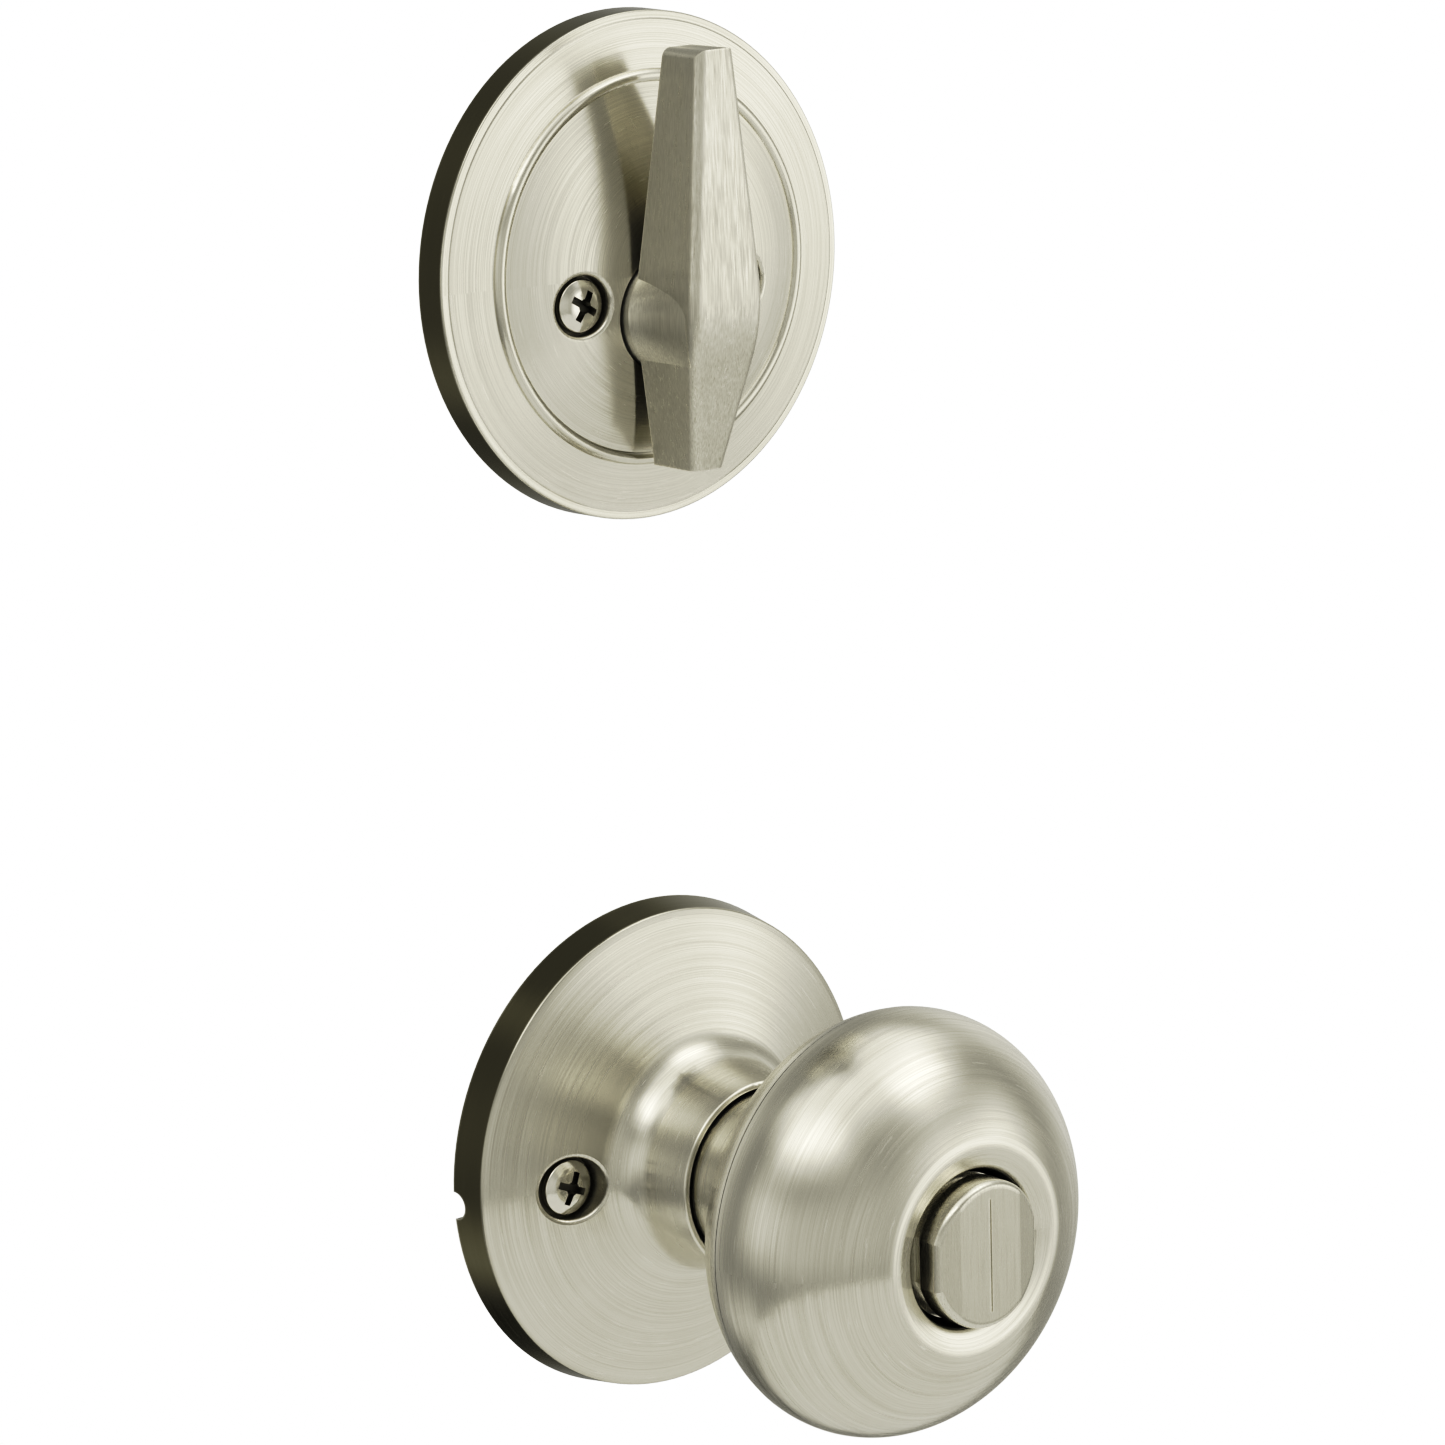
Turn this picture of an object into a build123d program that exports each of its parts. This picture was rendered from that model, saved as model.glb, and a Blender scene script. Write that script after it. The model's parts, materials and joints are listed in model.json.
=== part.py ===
from build123d import *
import math
import os

# Interior door trim for one door: a privacy knob below and a deadbolt thumb turn above.
# Millimetres. The door face is the plane Y = 0 and the trim stands out along -Y; +Z is up and
# +X is to the right of a person facing the door. The origin is on the door face, on the knob's axis.
# A height h is measured out of the door face, so it lies at Y = -h.

CENTRES = 120.7          # knob axis to the middle of the deadbolt plate
SHEET = 1.0              # wall of the drawn covers and of the knob shells
PLATE = 1.6              # thickness of both mounting plates
RUNNING = 0.05           # radial clearance of a running fit

# Knob rose
ROSE_RIM = 34.0
ROSE_FACE = 33.0
ROSE_EDGE_H = 5.3
ROSE_FLARE = (14.3, 12.2)
ROSE_CREST = (13.05, 22.9)
ROSE_MOUTH = 12.07
ROSE_BLEND = 6.0
ROSE_SCREW_X = 21.1
ROSE_SEAT_R = 4.3
ROSE_SEAT_H = 7.0

# Knob
KNOB_R = 28.3
KNOB_MID_H = 49.3
KNOB_REAR = 17.5
KNOB_FRONT = 18.5
SEAM_H = 46.6
SEAM_GAP = 0.2
NECK_R = 11.7
NECK_H = 18.0
NECK_BLEND = 3.5
DISH_R = 13.9
DISH_BLEND = 3.0
BUTTON_HOLE_R = 10.5
BUTTON_HOLE_H = 64.5

# Knob drive
JOURNAL_R = 8.6
BUSH_R = 10.0
HOUSING_R = 15.7
HOUSING_H = 9.6
HOUSING_WALL = 1.1
NOSE_H = 14.5
SPRING_R = 11.6
WIRE_R = 0.7
SPINDLE = 8.0
SPINDLE_BORE_R = 2.6
SPINDLE_END = 32.0
BAR = (4.0, 1.6)
BAR_END = 35.0

# Turn button
BUTTON_HALF_X = 8.65
BUTTON_HALF_Z = 9.75
BUTTON_OVAL = 9.15
BUTTON_H = 67.9
PANEL_HALF_X = 5.0
FACET_DROP = 0.9
BUTTON_EDGE = 1.0
BUTTON_MARK = (0.3, 15.0, 0.12)
STEM_R = 3.4

# Deadbolt plate
BOLT_RIM = 33.45
BOLT_EDGE_H = 4.6
BAND_H = 5.8
BEAD_R = 25.0
BEAD_H = 6.75
BEAD_WIRE = 0.9
DOME_R = 24.4
DOME_EDGE_H = 6.3
DOME_H = 9.7
BOLT_SCREW = (13.4, -3.3)
BOLT_SEAT_R = 3.95
BOLT_SEAT_H = 6.6

# Thumb turn: heights and half-widths at its top, its widest line and its bottom
TURN_Z = -5.5
HUB_R = 7.7
HUB_HOLE_R = 8.05
HUB_H = 10.4
HUB_FLAT = 5.3
HUB_SWELL = [(10.4, 7.7), (12.5, 6.95), (15.5, 6.4), (19.8, 5.95)]
TURN_FRONT = [(2.95, 29.3), (6.3, -5.8), (2.55, -25.5)]
TURN_SIDE = [(20.7, 29.3), (21.9, -5.8), (16.9, -25.5), (8.5, -25.5), (10.2, -5.5), (10.3, 0.0), (13.4, 29.3)]
TURN_BEND = 40.0
TURN_EDGE = 1.3
SHANK_R = 5.0
SHANK_END = 12.0
BLADE_SLOT = (5.2, 2.6)

# Screws
THREAD_R = 2.1
KNOB_HEAD_R = 3.8
BOLT_HEAD_R = 3.5
KNOB_HEAD_TOP_H = 9.3
BOLT_HEAD_TOP_H = 8.8
RECESS_W = 0.95
RIM_ROUND = 0.6
KNOB_SCREW_END = 11.0
BOLT_SCREW_END = 20.0
BOSS_R = 4.5
BOSS_BORE_R = 3.5


def turned(points, rounds=None):
    """Solid of revolution about Y from a closed outline of (radius, height) corners, some of them rounded."""
    rounds = rounds or {}
    corners = [(r, -h) for r, h in points]
    radii = [rounds.get(i, 0) for i in range(len(points))]
    outline = FilletPolyline(*corners, radius=radii, close=True)
    return revolve(make_face(outline.edges()), axis=Axis.Y)


def ring(outer, inner, low, high):
    """Plain ring between two radii and two heights."""
    return turned([(inner, low), (outer, low), (outer, high), (inner, high)])


def rod(radius, low, high, x=0.0, z=0.0):
    """Cylinder along Y between two heights."""
    return Pos(x, -(low + high) / 2, z) * Rot(90, 0, 0) * Cylinder(radius, high - low)


def bar(width, depth, low, high, x=0.0, z=0.0):
    """Rectangular bar along Y: its width lies along X and its depth along Z."""
    return Pos(x, -(low + high) / 2, z) * Box(width, high - low, depth)


def half_plane(low, high, width=60):
    """Right half of the profile plane between two heights."""
    return Pos(width / 2, -(low + high) / 2) * Rectangle(width, high - low)


def arm(radius, low, high):
    """Profile of a cylinder about Y, right half only."""
    return half_plane(low, high, radius)


def spun(profile):
    """Revolve a profile of radius and minus height about Y."""
    return revolve(profile, axis=Axis.Y)


def knob_oval(half_length, wall):
    """Elliptical profile about the knob's middle height, shrunk by a wall."""
    return Pos(0, -KNOB_MID_H) * Ellipse(KNOB_R - wall, half_length - wall)


def screw(head, seat_h, top_h, end, angle):
    """Oval-head machine screw with a cross recess at an angle; its thread starts just above the door face."""
    rim_h = seat_h + 1.3
    corners = [(0, seat_h), (head - 0.5, seat_h), (head, seat_h + 0.5), (head, rim_h)]
    crown = top_h - rim_h
    corners += [(head * 0.62, rim_h + 0.75 * crown), (0, top_h)]
    top = turned(corners, {3: 0.3, 4: 3.0})
    shank = rod(THREAD_R - 0.15, 0.5, seat_h + 0.1)
    thread = turned([(0, -end), (THREAD_R - 0.7, -end), (THREAD_R, 0.8 - end), (THREAD_R, 0.5), (0, 0.5)])
    cross = bar(head * 1.2, RECESS_W, rim_h - 0.9, top_h + 1)
    cross += bar(RECESS_W, head * 1.2, rim_h - 0.9, top_h + 1)
    cross += rod(RECESS_W, rim_h - 0.9, top_h + 1)
    return top + shank + thread - Rot(0, angle, 0) * cross


def seats(cover, envelope, spots, seat_r, seat_h):
    """Sink a screw seat into a cover at each spot: a floor, a wall up to the skin, a rounded rim and a hole."""
    reach = seat_h + 9
    for x, z in spots:
        cover += rod(seat_r + SHEET, seat_h - SHEET, reach, x, z) & envelope
    for x, z in spots:
        cover -= rod(seat_r, seat_h, reach, x, z)
        rim = [e for e in cover.edges() if abs(math.hypot(e.center().X - x, e.center().Z - z)) < seat_r + 0.1
               and e.center().Y < -seat_h - 0.2 and e.length > 2 * seat_r]
        cover = fillet(rim, RIM_ROUND)
        cover -= rod(THREAD_R + 0.5, 0, seat_h + 1, x, z)
    return cover


def make_rose():
    """Bell-shaped cover with a skirt, a turned-in mouth and two screw seats."""
    skin = [(ROSE_RIM, 0), (ROSE_FACE + 0.2, ROSE_EDGE_H - 0.3), (ROSE_FACE - 0.7, ROSE_EDGE_H + 0.1)]
    skin += [ROSE_FLARE, ROSE_CREST]
    envelope = turned([(0, 0)] + skin + [(0, ROSE_CREST[1])], {2: 0.4, 4: ROSE_BLEND})
    lining = [(ROSE_RIM - SHEET, 0), (ROSE_FACE - SHEET, ROSE_EDGE_H - SHEET - 0.1)]
    lining += [(ROSE_FLARE[0] - SHEET, ROSE_FLARE[1] - SHEET - 0.4), (ROSE_MOUTH, ROSE_CREST[1] - 1.5)]
    hollow = turned([(0, 0)] + lining + [(0, ROSE_CREST[1] - 1.5)], {3: ROSE_BLEND + 1})
    shell = envelope - hollow - rod(ROSE_MOUTH, 0, ROSE_CREST[1] + 1)
    lip = [e for e in shell.edges().filter_by(GeomType.CIRCLE) if abs(e.center().Y + ROSE_CREST[1]) < 0.01]
    shell = fillet(lip, 0.45)
    spots = [(-ROSE_SCREW_X, 0), (ROSE_SCREW_X, 0)]
    shell = seats(shell, envelope, spots, ROSE_SEAT_R, ROSE_SEAT_H)
    notch = Pos(-ROSE_RIM, 0, -1.4) * Rot(0, 90, 0) * Cylinder(1.9, 4)
    return shell - notch


def make_mounting_plate():
    """Flat disc behind the rose with two spacer bosses and a hole for the drive."""
    plate = ring(31.6, 9.2, 0, PLATE)
    for x in (-ROSE_SCREW_X, ROSE_SCREW_X):
        plate += rod(BOSS_R, 0, ROSE_SEAT_H - SHEET, x)
    for x in (-ROSE_SCREW_X, ROSE_SCREW_X):
        plate -= rod(BOSS_BORE_R, -1, ROSE_SEAT_H, x)
    return plate


def make_housing():
    """Cup on the mounting plate that holds the return spring, with a nose for the bush and a fixed tab."""
    inner = HOUSING_R - HOUSING_WALL
    roof = HOUSING_H - HOUSING_WALL
    cup = turned([(inner, PLATE), (HOUSING_R, PLATE), (HOUSING_R, HOUSING_H), (BUSH_R + 1.3, HOUSING_H),
                  (BUSH_R + 1.3, NOSE_H), (BUSH_R, NOSE_H), (BUSH_R, roof), (inner, roof)], {2: 0.8})
    tab = Pos(0, -(PLATE + 6.2) / 2, -inner) * Box(1.6, 6.2 - PLATE, 1.5)
    return cup + tab


def make_driver():
    """Disc keyed on the knob's core; its lug sits between the spring's two legs."""
    disc = ring(13.9, JOURNAL_R, 6.7, 8.0)
    lug = Pos(0, -(2.4 + 6.8) / 2, -13.2) * Box(1.6, 4.4, 0.9)
    return disc + lug


def make_spring():
    """Torsion coil with two legs that stand either side of the lug and the tab."""
    low = 2.55
    coils = 2
    pitch = 1.5
    spread = math.degrees(math.asin((0.8 + WIRE_R + 0.1) / SPRING_R))
    coil = Helix(pitch=pitch, height=pitch * (coils + 2 * spread / 360), radius=SPRING_R)
    angle = -90 - spread
    path = Pos(0, -low, 0) * Rot(90, 0, 0) * Rot(0, 0, angle) * coil
    start = path @ 0
    wire = sweep(Plane(origin=start, z_dir=path % 0) * Circle(WIRE_R), path=path, is_frenet=True)
    for end in (path @ 0, path @ 1):
        side = 1 if end.X > 0 else -1
        foot = Vector(side * (0.8 + WIRE_R + 0.1), end.Y, -14.0)
        leg = Line(end, foot)
        wire += sweep(Plane(origin=end, z_dir=leg % 0) * Circle(WIRE_R), path=leg)
        wire += Pos(*end) * Sphere(WIRE_R)
    return wire


def make_rear_shell():
    """Back half of the knob, drawn in one piece with its neck."""
    profiles = []
    for wall in (0, SHEET):
        oval = knob_oval(KNOB_REAR, wall)
        neck = Pos(0, -(NECK_H + KNOB_MID_H) / 2) * Rectangle(2 * (NECK_R - wall), KNOB_MID_H - NECK_H)
        both = oval + neck
        rise = (KNOB_REAR - wall) * math.sqrt(1 - ((NECK_R - wall) / (KNOB_R - wall)) ** 2)
        corners = [v for v in both.vertices() if abs(v.Y + KNOB_MID_H - rise) < 0.05]
        profiles.append(fillet(corners, NECK_BLEND + wall))
    shell = (profiles[0] - profiles[1]) & half_plane(NECK_H, SEAM_H)
    return spun(shell)


def make_front_shell():
    """Front of the knob with a shallow dish turned in to the button's hole."""
    edge_h = KNOB_MID_H + KNOB_FRONT * math.sqrt(1 - (DISH_R / KNOB_R) ** 2)
    shell = knob_oval(KNOB_FRONT, 0) - knob_oval(KNOB_FRONT, SHEET)
    shell = shell & half_plane(SEAM_H + SEAM_GAP, KNOB_MID_H + KNOB_FRONT + 1)
    shell -= arm(DISH_R, KNOB_MID_H, KNOB_MID_H + KNOB_FRONT + 1)
    hole = BUTTON_HOLE_R
    land = [(DISH_R, edge_h), (hole, BUTTON_HOLE_H), (hole, 59.5), (hole + SHEET, 59.5)]
    land += [(hole + SHEET, BUTTON_HOLE_H - 1.2), (DISH_R + 0.6, edge_h - 1.3)]
    outline = FilletPolyline(*[(r, -h) for r, h in land], radius=[0, 0.8, 0, 0, 0.6, 0], close=True)
    profile = shell + make_face(outline.edges())
    ridge = [v for v in profile.vertices() if abs(v.X - DISH_R) < 0.05 and abs(v.Y + edge_h) < 0.05]
    return spun(fillet(ridge, DISH_BLEND))


def make_core():
    """Cast insert: journal, neck tube and the flange that carries both shells."""
    tube = NECK_R - SHEET
    rim = 26.85
    solid = turned([(0, 4.6), (JOURNAL_R, 4.6), (JOURNAL_R, 5.5), (7.9, 5.5), (7.9, 6.5), (JOURNAL_R, 6.5),
                    (JOURNAL_R, 15.6), (tube, 15.6), (tube, 36), (tube + 4, 44.4), (25.7, 44.4), (rim, 46.7),
                    (rim, 50), (25.6, 50), (25.2, 46), (0, 46)], {8: 8.0, 14: 1.0})
    solid -= rod(6.6, 20, 47)
    solid -= rod(4.2, 15, 21)
    return solid - bar(SPINDLE + 0.1, SPINDLE + 0.1, 4, 16)


def oval(shrink, low, high):
    """Oval block with flattened sides between two heights."""
    block = Pos(0, -low, 0) * extrude(Plane.XZ * Ellipse(BUTTON_OVAL - shrink, BUTTON_HALF_Z - shrink), high - low)
    return block & bar(2 * (BUTTON_HALF_X - shrink), 30, low - 1, high + 1)


def make_button():
    """Oval button: flat panel with a fine mark, two sloped side facets, a rounded rim, a stem and a bar slot."""
    low = 64.0
    half = BUTTON_HALF_X + 1
    side = [(PANEL_HALF_X, -BUTTON_H), (half, FACET_DROP - BUTTON_H), (half, -low)]
    crown = [(-x, y) for x, y in reversed(side)] + side
    section = FilletPolyline(*crown, radius=[0, 0, 2.0, 2.0, 0, 0], close=True)
    head = oval(0, low, BUTTON_H + 1) & extrude(make_face(section.edges()), 15, both=True)
    inner = [e for e in head.edges() if e.geom_type == GeomType.LINE and abs(e.center().X) < BUTTON_HALF_X - 0.1]
    rim = [e for e in head.edges() if e.center().Y < 1 - BUTTON_H and e not in inner]
    head = fillet(rim, BUTTON_EDGE)
    width, length, depth = BUTTON_MARK
    head -= bar(width, length, BUTTON_H - depth, BUTTON_H + 1)
    stem = rod(STEM_R, 33, 62) + rod(4.6, 48.5, 61) + rod(9.6, 61, 62)
    stem -= ring(6, 2.7, 34.8, 35.7)
    return head + oval(0.9, 62, low) + stem - bar(BAR[0] + 0.1, BAR[1] + 0.1, 32, 46)


def make_deadbolt_plate():
    """Shallow drawn plate: skirt, sloped band, bead ring and a domed middle with screw seats and a hub hole."""
    top = DOME_H - DOME_EDGE_H
    radius = (DOME_R ** 2 + top ** 2) / (2 * top)
    centre_h = DOME_H - radius
    band = [(BOLT_RIM, 0), (BOLT_RIM - 0.1, BOLT_EDGE_H), (BOLT_RIM - 1.1, BOLT_EDGE_H + 0.05)]
    band += [(BOLT_RIM - 1.3, BOLT_EDGE_H + 0.15), (26.0, BAND_H)]
    band += [(DOME_R, DOME_EDGE_H), (0, DOME_EDGE_H)]
    dome = (Pos(0, -centre_h) * Circle(radius)) & half_plane(DOME_EDGE_H - 0.5, DOME_H + 1, DOME_R)
    bead = Pos(BEAD_R, -(BEAD_H - BEAD_WIRE)) * Circle(BEAD_WIRE)
    envelope = turned([(0, 0)] + band, {2: 0.25}) + spun(dome) + spun(bead)
    lining = [(BOLT_RIM - SHEET, 0), (BOLT_RIM - SHEET, BOLT_EDGE_H - SHEET), (26.0, BAND_H - SHEET)]
    lining += [(DOME_R - 0.6, DOME_EDGE_H - SHEET), (0, DOME_EDGE_H - SHEET)]
    inner_dome = Pos(0, -centre_h) * Circle(radius - SHEET)
    inner_dome = inner_dome & half_plane(DOME_EDGE_H - SHEET - 0.5, DOME_H, DOME_R - 0.6)
    hollow = turned([(0, 0)] + lining) + spun(inner_dome)
    shell = envelope - hollow
    spots = [(-BOLT_SCREW[0], BOLT_SCREW[1]), BOLT_SCREW]
    shell = seats(shell, envelope, spots, BOLT_SEAT_R, BOLT_SEAT_H)
    return shell - rod(HUB_HOLE_R, -1, DOME_H + 1, 0, TURN_Z)


def make_backing_plate():
    """Flat disc behind the deadbolt plate with two spacer bosses and a hole for the bushing."""
    plate = rod(31.5, 0, PLATE) - rod(8.0, -1, 0.4, 0, TURN_Z)
    for x in (-BOLT_SCREW[0], BOLT_SCREW[0]):
        plate += rod(BOSS_R, 0, BOLT_SEAT_H - SHEET, x, BOLT_SCREW[1])
    for x in (-BOLT_SCREW[0], BOLT_SCREW[0]):
        plate -= rod(BOSS_BORE_R, -1, BOLT_SEAT_H, x, BOLT_SCREW[1])
    return plate - rod(6.5, -1, PLATE + 1, 0, TURN_Z)


def cheeks(height, reach):
    """Section of the lever's swelling at one height: two straight ends and two sides that bow out to a reach."""
    rise = math.sqrt(HUB_R ** 2 - HUB_FLAT ** 2)
    low, high = TURN_Z - rise, TURN_Z + rise
    left = ThreePointArc((-HUB_FLAT, -height, low), (-reach, -height, TURN_Z), (-HUB_FLAT, -height, high))
    right = ThreePointArc((HUB_FLAT, -height, high), (reach, -height, TURN_Z), (HUB_FLAT, -height, low))
    return make_face([left, Line(left @ 1, right @ 0), right, Line(right @ 1, left @ 0)])


def make_thumb_turn():
    """Tapered lever that swells into a round hub, hollow behind for the drive shank."""
    (top, top_z), (wide, wide_z), (foot, foot_z) = TURN_FRONT
    front = [(-top, 0, top_z), (-wide, 0, wide_z), (-foot, 0, foot_z), (foot, 0, foot_z), (wide, 0, wide_z)]
    front += [(top, 0, top_z)]
    outline = FilletPolyline(*front, radius=[0, TURN_BEND, 0, 0, TURN_BEND, 0], close=True)
    slab = extrude(make_face(outline.edges()), 30, dir=(0, -1, 0))
    points = [(0, -h, z) for h, z in TURN_SIDE]
    outline = FilletPolyline(*points, radius=[0, TURN_BEND, 0, 0, 0, 0, 0], close=True)
    lever = slab & extrude(make_face(outline.edges()), 10, dir=(1, 0, 0), both=True)
    front_edges = [e for e in lever.edges() if e.center().Y < -15.5 and abs(e.center().X) > 1]
    lever = fillet(front_edges, TURN_EDGE)
    hub = rod(HUB_R, 4.3, HUB_H, 0, TURN_Z) + loft([cheeks(h, reach) for h, reach in HUB_SWELL])
    return lever + hub - rod(SHANK_R, 4, 9.0, 0, TURN_Z)


def make_shank():
    """Drive shank in the thumb turn, with a blind slot for the deadbolt's blade and a clip groove."""
    shank = rod(SHANK_R, -SHANK_END, 9.0, 0, TURN_Z)
    groove = Pos(0, 0, TURN_Z) * ring(SHANK_R + 1, 4.25, -0.65, 0.15)
    return shank - groove - bar(BLADE_SLOT[0], BLADE_SLOT[1], -SHANK_END - 1, 2, 0, TURN_Z)


def clip(outer, inner, low, high, gap):
    """Retaining ring with an open side."""
    return ring(outer, inner, low, high) - bar(gap, 2 * outer, low - 1, high + 1, 0, -outer)


def at_bolt(shape, drop=0.0):
    """Move a shape made about the origin to the deadbolt plate's centre, or to a point below it."""
    return Pos(0, 0, CENTRES + drop) * shape


knob_screw = screw(KNOB_HEAD_R, ROSE_SEAT_H, KNOB_HEAD_TOP_H, KNOB_SCREW_END, 24)
bolt_screw = screw(BOLT_HEAD_R, BOLT_SEAT_H, BOLT_HEAD_TOP_H, BOLT_SCREW_END, 31)

nodes = {
    "knob_rose": make_rose(),
    "mounting_plate": make_mounting_plate(),
    "spring_housing": make_housing(),
    "bearing_bush": turned([(JOURNAL_R + RUNNING, 8.6), (BUSH_R, 8.6), (BUSH_R, NOSE_H), (BUSH_R + 1.3, NOSE_H),
                            (BUSH_R + 1.3, NOSE_H + 0.7), (JOURNAL_R + RUNNING, NOSE_H + 0.7)]),
    "return_spring": make_spring(),
    "knob_screws": Compound(children=[Pos(x, 0, 0) * knob_screw for x in (-ROSE_SCREW_X, ROSE_SCREW_X)]),
    "knob_rear_shell": make_rear_shell(),
    "knob_front_shell": make_front_shell(),
    "knob_core": make_core(),
    "spring_driver": make_driver(),
    "retaining_ring": clip(10.2, 7.9, 5.55, 6.45, 5.0),
    "spindle": bar(SPINDLE, SPINDLE, -SPINDLE_END, 15.9) - rod(SPINDLE_BORE_R, -SPINDLE_END - 1, 17),
    "button_guide": ring(6.6, STEM_R + RUNNING, 36.2, 46) + ring(9.0, STEM_R + RUNNING, 46, 47),
    "friction_washer": turned([(3.8, 47), (6.6, 47), (6.6, 47.4), (4.4, 48.1), (3.8, 48.1)]),
    "turn_button": make_button(),
    "button_clip": clip(5.2, 2.7, 34.85, 35.65, 3.6),
    "lock_bar": bar(BAR[0], BAR[1], -BAR_END, 45.9),
    "deadbolt_plate": at_bolt(make_deadbolt_plate()),
    "deadbolt_backing_plate": at_bolt(make_backing_plate()),
    "turn_bushing": at_bolt(ring(6.5, SHANK_R + RUNNING, 0.4, PLATE) + ring(7.9, SHANK_R + RUNNING, PLATE, 2.6),
                            TURN_Z),
    "spring_washer": at_bolt(turned([(5.5, 2.6), (7.5, 2.6), (7.5, 3.0), (6.0, 3.9), (5.5, 3.9)]), TURN_Z),
    "deadbolt_screws": Compound(children=[Pos(x, 0, CENTRES + BOLT_SCREW[1]) * bolt_screw
                                          for x in (-BOLT_SCREW[0], BOLT_SCREW[0])]),
    "thumb_turn": at_bolt(make_thumb_turn()),
    "turn_shank": at_bolt(make_shank()),
    "turn_clip": at_bolt(clip(7.4, 4.25, -0.6, 0.1, 6.0), TURN_Z),
}

os.makedirs("parts", exist_ok=True)
for name, shape in nodes.items():
    export_step(shape, f"parts/{name}.step")
    print(name, len(shape.solids()), round(shape.volume))
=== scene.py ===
import json
import math

import bpy
from mathutils import Matrix, Vector


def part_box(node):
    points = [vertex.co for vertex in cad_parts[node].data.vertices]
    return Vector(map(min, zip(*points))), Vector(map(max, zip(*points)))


# Interior door trim in satin nickel: knob set below, deadbolt thumb turn above. Metres; the door face is
# the plane y = 0, the trim stands out along -y, +z is up and +x is right for a person facing the door.
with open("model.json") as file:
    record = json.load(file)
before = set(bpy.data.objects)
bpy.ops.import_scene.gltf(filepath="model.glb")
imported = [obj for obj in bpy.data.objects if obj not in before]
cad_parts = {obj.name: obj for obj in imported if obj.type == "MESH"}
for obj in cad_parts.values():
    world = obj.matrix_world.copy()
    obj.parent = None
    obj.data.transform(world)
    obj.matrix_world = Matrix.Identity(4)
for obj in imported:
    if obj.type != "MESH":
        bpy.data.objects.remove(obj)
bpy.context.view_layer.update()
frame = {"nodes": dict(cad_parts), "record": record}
nodes = frame["nodes"]


def middle(node):
    """Middle of a node's box."""
    low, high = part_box(node)
    return [(a + b) / 2 for a, b in zip(low, high)]


def screw_pair(screws, plate, well_gap, recess_depth):
    """Where the frame has a plate's two screws: how far to either side of the plate's axis and above it.

    With them the radius of their wells and the heights between which painted shade fills the cross
    recesses."""
    low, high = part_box(screws)
    head_radius = (high[2] - low[2]) / 2
    head_top = -low[1]
    return {"x": (high[0] - low[0]) / 2 - head_radius, "z": middle(screws)[2] - middle(plate)[2],
            "well": head_radius + well_gap, "unshaded_h": head_top - 0.0002, "shaded_h": head_top - recess_depth}


KNOB_AXIS = (0.0, 0.0, 0.0)
BOLT_AXIS = (0.0, 0.0, middle("deadbolt_plate")[2])
KNOB_SCREWS = screw_pair("knob_screws", "knob_rose", 0.0005, 0.0014)
BOLT_SCREWS = screw_pair("deadbolt_screws", "deadbolt_plate", 0.00045, 0.0013)
RECESS_R = (0.0026, 0.0023)       # from a screw's axis, where the painted shade of its recess fades out and is full
SHANK_H = (0.0055, 0.006)         # below these heights a screw is shank, with no recess
ROSE_SKIRT_H = 0.0049             # heights where the skirts end; below them the colour is painted shade
PLATE_SKIRT_H = 0.0044

# Satin nickel, linear colour
NICKEL = (0.77, 0.755, 0.685, 1)
NICKEL_DARK = (0.60, 0.585, 0.52, 1)
NICKEL_WORN = (0.84, 0.825, 0.76, 1)
EDGE_WORN = (0.88, 0.865, 0.80, 1)
# painted shade: near-black colour on the skirts, for the dark surroundings they reflect
SKIRT_PAINTED_SHADE = (0.17, 0.16, 0.10, 1)
# painted shade: darker colour on the floors of the screw wells
WELL_PAINTED_SHADE = (0.16, 0.15, 0.11, 1)
STROKE_DARK = (0.50, 0.48, 0.40, 1)
# painted shade for faces square to one axis
SHADE = (0.40, 0.39, 0.34, 1)
RIM_WORN = (0.86, 0.84, 0.76, 1)
SCREW_BRIGHT = (0.84, 0.825, 0.76, 1)
SCREW_DULL = (0.72, 0.70, 0.63, 1)
# painted shade: dark colour in the screws' cross recesses
RECESS_PAINTED_SHADE = (0.10, 0.095, 0.07, 1)

# Plainer materials, each with the tone of its darker patches
ZINC, ZINC_DARK = (0.60, 0.61, 0.62, 1), (0.48, 0.50, 0.50, 1)
CAST, CAST_DARK = (0.48, 0.49, 0.50, 1), (0.38, 0.39, 0.40, 1)
SPRING, SPRING_DARK = (0.30, 0.31, 0.33, 1), (0.20, 0.21, 0.22, 1)
STEEL, STEEL_DARK = (0.58, 0.59, 0.60, 1), (0.46, 0.47, 0.49, 1)
NYLON, NYLON_DARK = (0.83, 0.82, 0.76, 1), (0.78, 0.76, 0.70, 1)

# Linear light levels and what they are shown as
CONTRAST = [(0.12, 0.045), (0.5, 0.53), (0.72, 0.79)]

# Soft boxes round the object: azimuth from straight out of the door (right is positive), elevation,
# half-width, half-height, all in degrees, and level. The edges fade over SOFT_EDGE.
SOFT_EDGE = 30
BASE_LEVEL = 0.35
SOFT_BOXES = {
    "overhead": (0, 70, 140, 22, 0.6),
    "high left": (-65, 45, 35, 10, 0.9),
    "high right": (45, 50, 25, 10, 0.95),
    "high side": (95, 45, 15, 12, 0.35),
    "right front": (40, 0, 28, 22, 0.75),
    "right": (115, 5, 20, 25, 0.4),
    "left": (-95, 8, 18, 18, 0.4),
    "low left": (-130, -40, 25, 10, 0.4),
    "camera side": (-40, 0, 40, 20, 0.22),
    "behind": (180, 5, 25, 20, 0.45),
}

CAMERA_PLACE = (-0.416459, -0.515904, 0.214395)
CAMERA_AZIMUTH, CAMERA_ELEVATION, CAMERA_ROLL = -39.899, 13.251, -1.676   # degrees
CAMERA_LENS = 126.28
FLOOR_Y, FLOOR_Z = -1.0, -0.9


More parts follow.
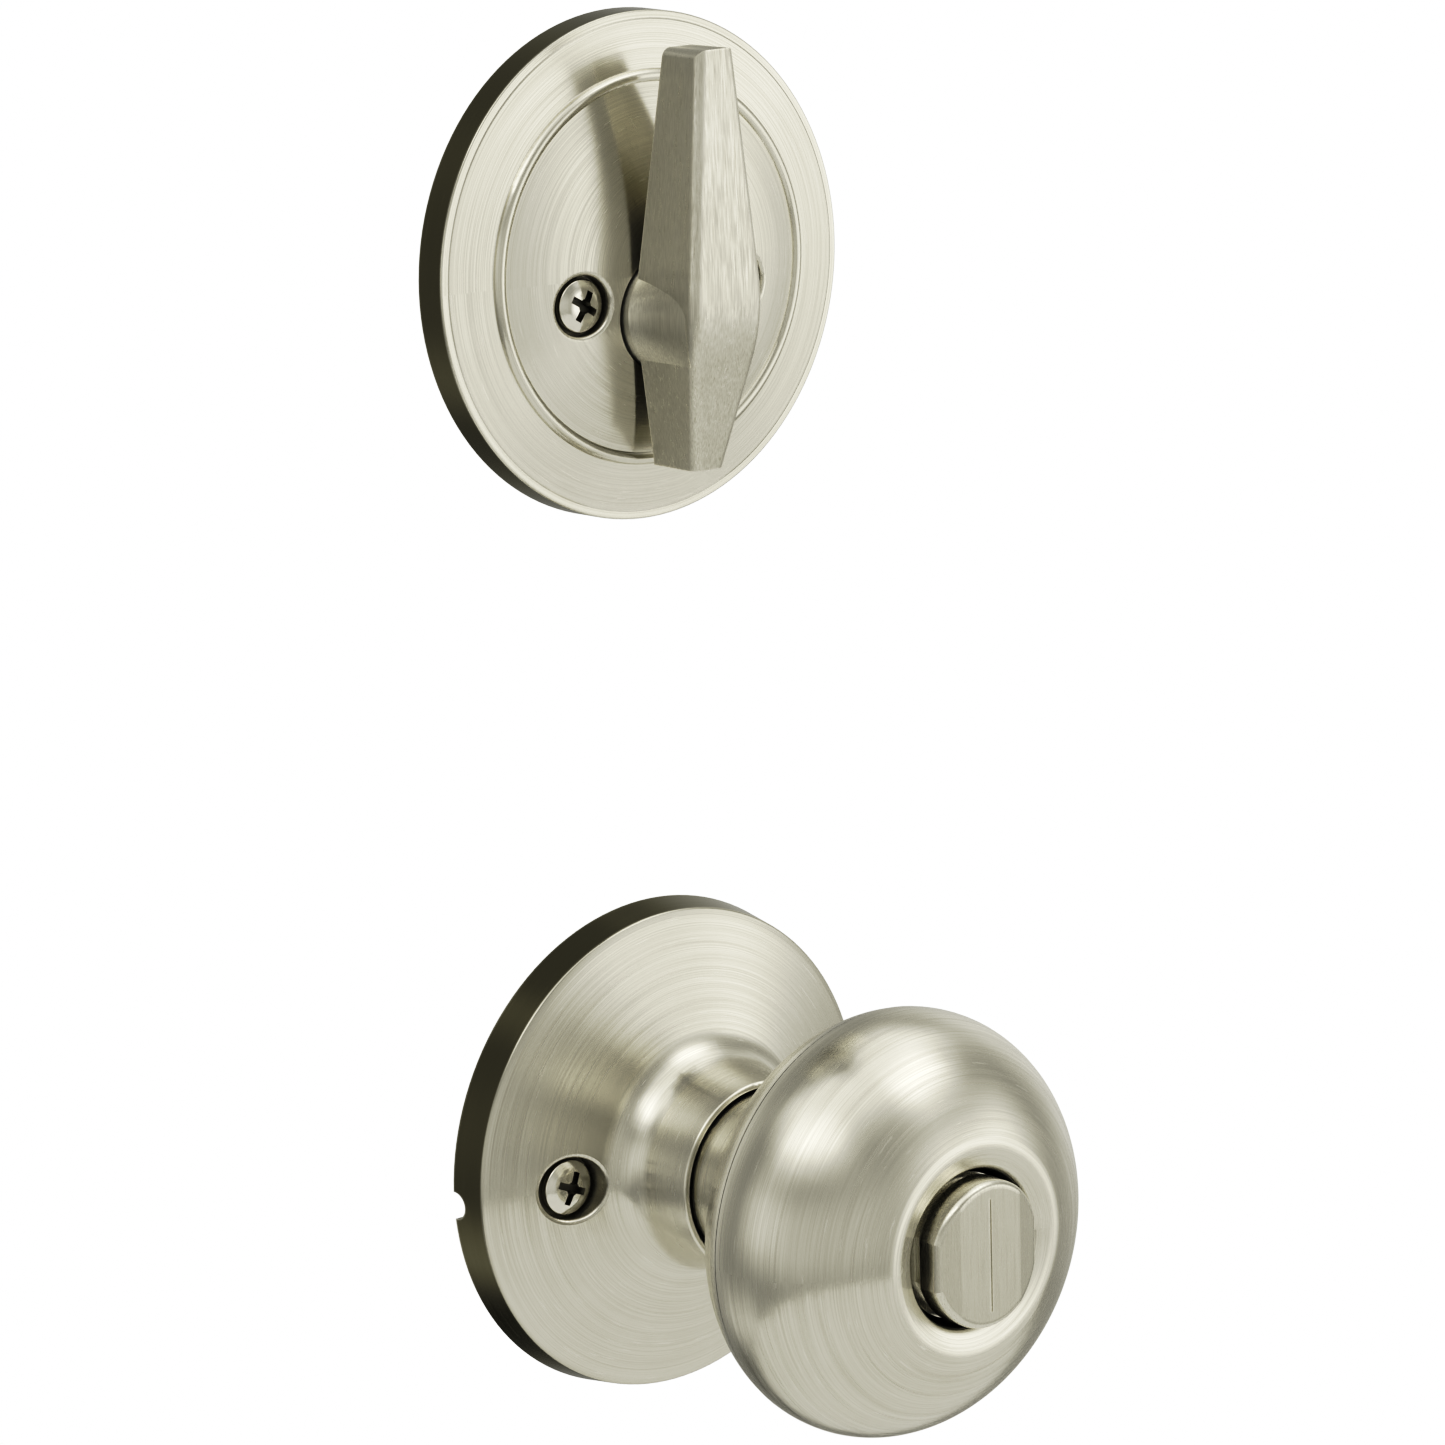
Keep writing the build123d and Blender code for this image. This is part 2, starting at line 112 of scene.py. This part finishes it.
# ---------------------------------------------------------------- camera
def make_camera():
    """Camera at the angle the object is seen from."""
    a, e, roll = (math.radians(v) for v in (CAMERA_AZIMUTH, CAMERA_ELEVATION, CAMERA_ROLL))
    back = Vector((math.sin(a) * math.cos(e), -math.cos(a) * math.cos(e), math.sin(e)))
    right = Vector((math.cos(a), math.sin(a), 0))
    up = back.cross(right)
    rolled_right = right * math.cos(roll) + up * math.sin(roll)
    rolled_up = up * math.cos(roll) - right * math.sin(roll)
    data = bpy.data.cameras.new("camera")
    data.sensor_width = 36.0
    data.lens = CAMERA_LENS
    data.clip_start, data.clip_end = 0.01, 100
    cam = bpy.data.objects.new("camera", data)
    bpy.context.scene.collection.objects.link(cam)
    m = Matrix((rolled_right, rolled_up, back)).transposed().to_4x4()
    m.translation = Vector(CAMERA_PLACE)
    cam.matrix_world = m
    bpy.context.scene.camera = cam


# ---------------------------------------------------------------- node helpers
class Graph:
    """Short calls for building one node tree."""

    def __init__(self, tree):
        self.tree = tree

    def add(self, kind, inputs=None, **props):
        n = self.tree.nodes.new(kind)
        for k, v in props.items():
            setattr(n, k, v)
        for k, v in (inputs or {}).items():
            self.set(n.inputs[k], v)
        return n

    def set(self, socket, v):
        if isinstance(v, bpy.types.NodeSocket):
            self.tree.links.new(v, socket)
        else:
            socket.default_value = v

    def math(self, op, a, b=0.0, c=0.0):
        return self.add("ShaderNodeMath", {0: a, 1: b, 2: c}, operation=op).outputs[0]

    def plus(self, a, b):
        return self.math("ADD", a, b)

    def minus(self, a, b):
        return self.math("SUBTRACT", a, b)

    def times(self, a, b):
        return self.math("MULTIPLY", a, b)

    def length(self, a, b):
        return self.math("SQRT", self.plus(self.times(a, a), self.times(b, b)))

    def range(self, v, a, b, c=0.0, d=1.0):
        """Smooth step from c at a to d at b, held outside."""
        ends = {"Value": v, "From Min": a, "From Max": b, "To Min": c, "To Max": d}
        return self.add("ShaderNodeMapRange", ends, interpolation_type="SMOOTHSTEP").outputs["Result"]

    def noise(self, vector, scale, detail=2.0, rough=0.5):
        inputs = {"Vector": vector, "Scale": scale, "Detail": detail, "Roughness": rough}
        return self.add("ShaderNodeTexNoise", inputs).outputs["Fac"]

    def mix(self, fac, a, b):
        n = self.add("ShaderNodeMix", data_type="RGBA")
        self.set(n.inputs["Factor"], fac)
        self.set(n.inputs["A"], a)
        self.set(n.inputs["B"], b)
        return n.outputs["Result"]

    def edge(self, radius):
        """1 along sharp edges and 0 on open faces, for wear."""
        soft = self.add("ShaderNodeBevel", {"Radius": radius}, samples=4).outputs[0]
        flat = self.add("ShaderNodeNewGeometry").outputs["Normal"]
        dot = self.add("ShaderNodeVectorMath", {0: soft, 1: flat}, operation="DOT_PRODUCT")
        return self.range(dot.outputs["Value"], 0.995, 0.90)

    def combine(self, x, y, z):
        return self.add("ShaderNodeCombineXYZ", {"X": x, "Y": y, "Z": z}).outputs[0]

    def separate(self, vector):
        return self.add("ShaderNodeSeparateXYZ", {0: vector}).outputs


def new_material(name):
    """Empty Principled material; returns it with its graph, its shader and the object coordinates."""
    mat = bpy.data.materials.new(name)
    mat.use_nodes = True
    tree = mat.node_tree
    tree.nodes.clear()
    g = Graph(tree)
    out = g.add("ShaderNodeOutputMaterial")
    bsdf = g.add("ShaderNodeBsdfPrincipled")
    tree.links.new(bsdf.outputs[0], out.inputs[0])
    pos = g.add("ShaderNodeTexCoord").outputs["Object"]
    return mat, g, bsdf, pos


def finish_surface(g, bsdf, colour, rough, height, strength, distance):
    """Colour, roughness and bump of a material."""
    bump = g.add("ShaderNodeBump", {"Height": height, "Strength": strength, "Distance": distance})
    g.set(bsdf.inputs["Base Color"], colour)
    g.set(bsdf.inputs["Roughness"], rough)
    g.set(bsdf.inputs["Normal"], bump.outputs[0])


def brush(g, bsdf, axis, aniso, turn):
    """Brushed metal: highlights spread across strokes that run round or along an axis."""
    bsdf.inputs["Metallic"].default_value = 1.0
    bsdf.inputs["Anisotropic"].default_value = aniso
    bsdf.inputs["Anisotropic Rotation"].default_value = turn
    tangent = g.add("ShaderNodeTangent", direction_type="RADIAL", axis=axis)
    g.set(bsdf.inputs["Tangent"], tangent.outputs[0])


# ---------------------------------------------------------------- materials
def spun_nickel(name, centre, skirt=0.0, screws=None, streak=1.0):
    """Satin nickel brushed on a lathe: fine rings about the Y axis through a centre.

    The skirt below one height is plainer and glossier and carries painted shade: a near-black colour for
    the dark surroundings it reflects. The two screw wells carry painted shade too and are rougher. streak
    is how strongly the broad rings show."""
    rough = 0.21
    mat, g, bsdf, pos = new_material(name)
    place = g.separate(pos)
    x = g.minus(place[0], centre[0])
    z = g.minus(place[2], centre[2])
    radius = g.length(x, z)
    angle = g.math("ARCTAN2", z, x)
    h = g.times(place[1], -1.0)

    def rings(per_metre, per_radian):
        return g.combine(g.times(radius, per_metre), g.times(h, per_metre), g.times(angle, per_radian))

    fine = g.noise(rings(9000, 0.8), 1.0, 2.0, 0.55)
    band = g.noise(rings(1400, 0.8), 1.0, 2.0, 0.5)
    scratch = g.range(g.noise(rings(3000, 5.0), 1.0, 1.0, 0.5), 0.68, 0.74)
    cloud = g.noise(pos, 70.0, 3.0, 0.55)
    tone = g.mix(g.range(fine, 0.35, 0.7, 0.0, 0.55), NICKEL, NICKEL_DARK)
    tone = g.mix(g.range(band, 0.5, 0.75, 0.0, 0.4 * streak), tone, NICKEL_DARK)
    tone = g.mix(g.range(cloud, 0.4, 0.75, 0.0, 0.25), tone, NICKEL_WORN)
    tone = g.mix(g.times(scratch, 0.6), tone, NICKEL_WORN)
    r = g.range(fine, 0.3, 0.7, rough - 0.04, rough + 0.05)
    r = g.plus(r, g.range(band, 0.3, 0.7, -0.03 * streak, 0.04 * streak))
    r = g.plus(r, g.times(scratch, 0.05))
    if skirt:
        # painted shade on the skirt: near-black colour for the dark surroundings it reflects, and more
        # gloss
        low = g.range(h, skirt - 0.0003, skirt + 0.0003, 1.0, 0.0)
        r = g.minus(r, g.times(low, rough * 0.45))
        tone = g.mix(g.times(low, 0.88), tone, SKIRT_PAINTED_SHADE)
    if screws:
        # painted shade on the floors of the two screw wells, which are also rougher
        away = g.length(g.minus(g.math("ABSOLUTE", x), screws["x"]), g.minus(z, screws["z"]))
        recess_shade = g.range(away, screws["well"] + 0.00015, screws["well"] - 0.0001)
        tone = g.mix(g.times(recess_shade, 0.85), tone, WELL_PAINTED_SHADE)
        r = g.plus(r, g.times(recess_shade, 0.15))
    worn = g.times(g.edge(0.0004), g.range(cloud, 0.3, 0.6, 0.4, 1.0))
    tone = g.mix(g.times(worn, 0.8), tone, EDGE_WORN)
    r = g.minus(r, g.times(worn, 0.06))
    height = g.minus(g.plus(fine, g.times(band, 0.7 * streak)), g.times(scratch, 0.5))
    brush(g, bsdf, "Y", 0.85, 0.25)
    finish_surface(g, bsdf, tone, r, height, 0.05, 0.00003)
    return mat


def straight_nickel(name, rough, aniso, grain, shade, shaded_axis):
    """Satin nickel brushed along Z, with long strokes and a few deeper ones.

    Faces square to one axis carry painted shade, so that the rest reads as lit: the lever's sides, the
    button's panel."""
    mat, g, bsdf, pos = new_material(name)
    place = g.separate(pos)

    def strokes(across, along):
        return g.combine(g.times(place[0], across), g.times(place[1], across), g.times(place[2], along))

    fine = g.noise(strokes(6500, 160), 1.0, 3.0, 0.6)
    band = g.noise(strokes(1800, 40), 1.0, 2.0, 0.5)
    deep = g.range(g.noise(strokes(3800, 70), 1.0, 1.0, 0.5), 0.66, 0.76)
    cloud = g.noise(pos, 110.0, 3.0, 0.55)
    tone = g.mix(g.range(fine, 0.32, 0.7, 0.0, 0.75 * grain), NICKEL, NICKEL_DARK)
    tone = g.mix(g.range(cloud, 0.4, 0.75, 0.0, 0.3), tone, NICKEL_WORN)
    tone = g.mix(g.times(deep, 0.5 * grain), tone, STROKE_DARK)
    # painted shade on faces square to the shaded axis
    normal = g.separate(g.add("ShaderNodeTexCoord").outputs["Normal"])
    square = g.range(g.math("ABSOLUTE", normal[shaded_axis]), 0.93, 0.985)
    tone = g.mix(g.times(square, shade), tone, SHADE)
    worn = g.times(g.edge(0.0005), g.range(cloud, 0.3, 0.6, 0.5, 1.0))
    tone = g.mix(worn, tone, RIM_WORN)
    r = g.range(fine, 0.3, 0.7, rough - 0.05, rough + 0.08)
    r = g.plus(r, g.range(band, 0.3, 0.7, -0.03, 0.03))
    r = g.minus(r, g.times(worn, 0.08))
    height = g.minus(g.plus(fine, g.times(band, 0.5)), g.times(deep, 0.6))
    brush(g, bsdf, "Z", aniso, 0.0)
    finish_surface(g, bsdf, tone, r, height, 0.1 * grain, 0.00006)
    return mat


def plain_metal(name, colour, dark, rough, grain, strength=0.1, metallic=1.0):
    """Plated, cast or moulded surface with a fine grain, patchy tone and patchy gloss."""
    mat, g, bsdf, pos = new_material(name)
    fine = g.noise(pos, grain * 10, 3.0, 0.6)
    cloud = g.noise(pos, grain, 3.0, 0.55)
    tone = g.mix(g.range(cloud, 0.3, 0.75, 0.0, 0.7), colour, dark)
    r = g.range(cloud, 0.3, 0.7, rough - 0.06, rough + 0.08)
    r = g.plus(r, g.range(fine, 0.3, 0.7, -0.03, 0.03))
    bsdf.inputs["Metallic"].default_value = metallic
    finish_surface(g, bsdf, tone, r, g.plus(fine, cloud), strength, 0.0002)
    return mat


def screw_metal(name, plate_axis, screws):
    """Polished plated screw heads: turned rings, scuffs, and painted shade in the cross recess."""
    mat, g, bsdf, pos = new_material(name)
    place = g.separate(pos)
    x = g.minus(g.math("ABSOLUTE", place[0]), screws["x"])
    z = g.minus(place[2], plate_axis[2] + screws["z"])
    radius = g.length(x, z)
    h = g.times(place[1], -1.0)
    rings = g.noise(g.combine(g.times(radius, 9000), g.times(h, 9000), 0.0), 1.0, 2.0, 0.5)
    scuff = g.noise(pos, 900.0, 3.0, 0.6)
    cloud = g.noise(pos, 350.0, 2.0, 0.5)
    # painted shade darkens the cross recess between the two heights, above the shank
    recess_shade = g.times(g.range(radius, *RECESS_R), g.range(h, screws["unshaded_h"], screws["shaded_h"]))
    recess_shade = g.times(recess_shade, g.range(h, *SHANK_H))
    tone = g.mix(g.range(cloud, 0.35, 0.7, 0.0, 0.4), SCREW_BRIGHT, SCREW_DULL)
    tone = g.mix(g.times(recess_shade, 0.85), tone, RECESS_PAINTED_SHADE)
    r = g.plus(g.range(scuff, 0.35, 0.7, 0.10, 0.22), g.times(recess_shade, 0.25))
    height = g.plus(g.times(rings, 0.4), g.plus(scuff, g.times(cloud, 1.5)))
    bsdf.inputs["Metallic"].default_value = 1.0
    finish_surface(g, bsdf, tone, r, height, 0.12, 0.0001)
    return mat


def paint(node, mat):
    """Give a node one material in place of its plain one."""
    o = nodes[node]
    o.data.materials.clear()
    o.data.materials.append(mat)


def make_materials():
    """One material for each slot of the record, and one more for the deadbolt's screws."""
    by_slot = {
        "rose_nickel": spun_nickel("rose_nickel", KNOB_AXIS, ROSE_SKIRT_H, KNOB_SCREWS, 0.6),
        "plate_nickel": spun_nickel("plate_nickel", BOLT_AXIS, PLATE_SKIRT_H, BOLT_SCREWS, 0.35),
        "knob_front_nickel": spun_nickel("knob_front_nickel", KNOB_AXIS),
        "knob_rear_nickel": spun_nickel("knob_rear_nickel", KNOB_AXIS),
        "turn_nickel": straight_nickel(
            "turn_nickel", rough=0.33, aniso=0.8, grain=1.0, shade=0.35, shaded_axis=0),
        "button_nickel": straight_nickel(
            "button_nickel", rough=0.22, aniso=0.6, grain=0.4, shade=0.5, shaded_axis=1),
        "screw_head": screw_metal("screw_head", KNOB_AXIS, KNOB_SCREWS),
        "zinc_plate": plain_metal("zinc_plate", ZINC, ZINC_DARK, rough=0.38, grain=150),
        "cast_insert": plain_metal("cast_insert", CAST, CAST_DARK, rough=0.5, grain=400, strength=0.3),
        "spring_steel": plain_metal("spring_steel", SPRING, SPRING_DARK, rough=0.35, grain=300),
        "bar_steel": plain_metal("bar_steel", STEEL, STEEL_DARK, rough=0.33, grain=200),
        "nylon": plain_metal("nylon", NYLON, NYLON_DARK, rough=0.45, grain=200, metallic=0.0),
    }
    for part in frame["record"]["subparts"]:
        paint(part["node"], by_slot[part["material_slot"]])
    paint("deadbolt_screws", screw_metal("screw_head_bolt", BOLT_AXIS, BOLT_SCREWS))


# ---------------------------------------------------------------- light
def soft_box(g, azimuth, elevation, box):
    """Level of one soft box in the direction being lit from."""
    centre, height, half_width, half_height, level = box
    across = g.math("ABSOLUTE", g.math("WRAP", g.minus(azimuth, centre), 180, -180))
    rise = g.math("ABSOLUTE", g.minus(elevation, height))
    fade = SOFT_EDGE / 2
    wide = g.range(across, half_width + fade, half_width - fade)
    tall = g.range(rise, half_height + fade, half_height - fade)
    return g.times(g.times(wide, tall), level)


def make_world():
    """Soft studio: soft boxes over a low base, darker from below. The camera itself sees plain white."""
    world = bpy.data.worlds.new("studio")
    bpy.context.scene.world = world
    world.use_nodes = True
    tree = world.node_tree
    tree.nodes.clear()
    g = Graph(tree)
    toward = g.separate(g.add("ShaderNodeTexCoord").outputs["Generated"])
    azimuth = g.math("DEGREES", g.math("ARCTAN2", toward[0], g.times(toward[1], -1.0)))
    elevation = g.math("DEGREES", g.math("ARCSINE", toward[2]))
    level = g.times(g.range(elevation, -30, -60, 1.0, 0.1), BASE_LEVEL)
    for box in SOFT_BOXES.values():
        level = g.plus(level, soft_box(g, azimuth, elevation, box))
    blue = g.math("MAXIMUM", g.minus(g.times(level, 0.975), 0.012), 0.0)
    tint = g.combine(level, g.times(level, 0.995), blue)
    soft = g.add("ShaderNodeBackground", {"Color": tint, "Strength": 1.0})
    pale = g.add("ShaderNodeBackground", {"Color": (1, 1, 1, 1), "Strength": 1.0})
    seen = g.add("ShaderNodeLightPath").outputs["Is Camera Ray"]
    mix = g.add("ShaderNodeMixShader", {0: seen, 1: soft.outputs[0], 2: pale.outputs[0]})
    g.add("ShaderNodeOutputWorld", {0: mix.outputs[0]})


def make_floor():
    """Plain pale disc well below the trim, which hangs on a door."""
    mesh = bpy.data.meshes.new("floor")
    corners, radius = 96, 1.6
    turns = [2 * math.pi * i / corners for i in range(corners)]
    rim = [(radius * math.cos(t), radius * math.sin(t) + FLOOR_Y, FLOOR_Z) for t in turns]
    mesh.from_pydata(rim, [], [list(range(corners))])
    floor = bpy.data.objects.new("floor", mesh)
    bpy.context.scene.collection.objects.link(floor)
    mat, g, bsdf, pos = new_material("floor")
    cloud = g.noise(pos, 3.0, 4.0, 0.5)
    tone = g.mix(g.range(cloud, 0.3, 0.7, 0.0, 0.5), (0.93, 0.93, 0.925, 1), (0.915, 0.915, 0.91, 1))
    finish_surface(g, bsdf, tone, 0.9, cloud, 0.02, 0.001)
    mesh.materials.append(mat)


def make_contrast():
    """Plain transform with a mild contrast curve: darker shadows, brighter light tones, same white."""
    view = bpy.context.scene.view_settings
    view.view_transform = "Standard"
    view.look = "None"
    view.use_curve_mapping = True
    curve = view.curve_mapping.curves[3]
    for level, shown in CONTRAST:
        curve.points.new(level, shown)
    view.curve_mapping.update()


make_camera()
make_materials()
make_world()
make_floor()
make_contrast()
